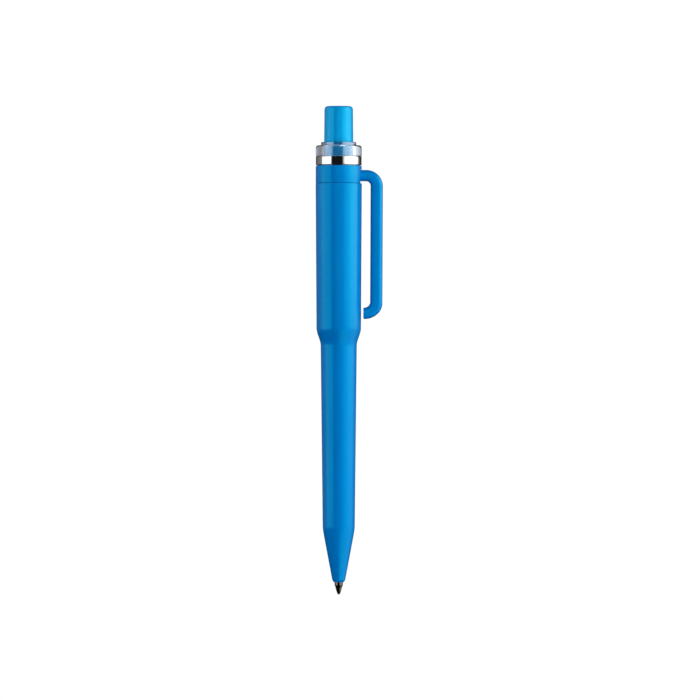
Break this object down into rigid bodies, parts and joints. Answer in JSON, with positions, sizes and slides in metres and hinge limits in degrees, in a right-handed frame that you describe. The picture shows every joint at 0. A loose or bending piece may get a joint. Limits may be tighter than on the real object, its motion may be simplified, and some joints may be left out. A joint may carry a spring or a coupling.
{
  "type": "retractable ballpoint pen",
  "caption": "Slim click-top ballpoint pen with a stepped barrel, a side clip on a turning band, a clear collar, and a refill that a push button feeds through the nose.",
  "frame": {"origin": "the lowest point of the writing ball, with the refill out, on the pen's axis", "axes": "+Z along the pen's axis from the point to the push button; +X from the axis to the clip; +Y completes the right-handed frame and is the pen's narrow side"},
  "size_m": [0.0195, 0.0134, 0.1418],
  "materials": {
    "barrel_plastic": "semi-gloss moulded plastic",
    "ring_plastic": "semi-gloss moulded plastic",
    "clip_plastic": "semi-gloss moulded plastic",
    "button_plastic": "semi-gloss moulded plastic",
    "polished_chrome": "polished",
    "clear_plastic": "clear polished plastic",
    "sleeve_plastic": "natural moulded plastic",
    "thrust_plastic": "natural moulded plastic",
    "rotor_plastic": "acetal",
    "spring_steel": "drawn wire",
    "tube_steel": "satin",
    "plug_plastic": "moulded plastic",
    "holder_brass": "turned",
    "tip_metal": "turned nickel silver",
    "ink": "thick oil ink",
    "ball_metal": "ground carbide"
  },
  "bodies": {
    "barrel": {"barrel": "barrel_plastic", "return_spring": "spring_steel"},
    "clip_band": {"clip_ring": "ring_plastic"},
    "clip": {"clip": "clip_plastic"},
    "top_unit": {"guide_sleeve": "sleeve_plastic", "chrome_ring": "polished_chrome", "clear_collar": "clear_plastic"},
    "push_button": {"push_button": "button_plastic", "thrust_tube": "thrust_plastic"},
    "cam_rotor": {"cam_rotor": "rotor_plastic"},
    "refill": {"refill_tube": "tube_steel", "refill_plug": "plug_plastic", "tip_holder": "holder_brass", "refill_tip": "tip_metal", "ink_column": "ink"},
    "ball": {"writing_ball": "ball_metal"}
  },
  "joints": [
    {"name": "top_rise", "type": "slide", "parent": "barrel", "child": "clip_band", "axis": [0, 0, 1], "range_m": [0, 0.0045]},
    {"name": "top_turn", "type": "hinge", "parent": "clip_band", "child": "top_unit", "pos_m": [0, 0, 0.113], "axis": [0, 0, 1], "range_deg": [0, 1080]},
    {"name": "clip_flex", "type": "hinge", "parent": "clip_band", "child": "clip", "pos_m": [0.0062, 0, 0.1217], "axis": [0, -1, 0], "range_deg": [0, 5], "stiffness_Nm_per_rad": 2},
    {"name": "button_click", "type": "slide", "parent": "top_unit", "child": "push_button", "axis": [0, 0, 1], "range_m": [-0.001, 0.005], "stiffness_N_per_m": 200},
    {"name": "cam_index", "type": "hinge", "parent": "push_button", "child": "cam_rotor", "pos_m": [0, 0, 0.1034], "axis": [0, 0, 1], "continuous": true},
    {"name": "refill_feed", "type": "slide", "parent": "barrel", "child": "refill", "axis": [0, 0, 1], "range_m": [-0.001, 0.005], "deforming": ["return_spring"]},
    {"name": "ball_roll", "type": "hinge", "parent": "refill", "child": "ball", "pos_m": [0, 0, 0.00034], "axis": [0, 1, 0], "continuous": true}
  ],
  "couplings": [
    {"joint": "top_turn", "follows": "top_rise", "rad_per_m": 4188.8},
    {"joint": "refill_feed", "follows": "button_click", "ratio": 1}
  ]
}
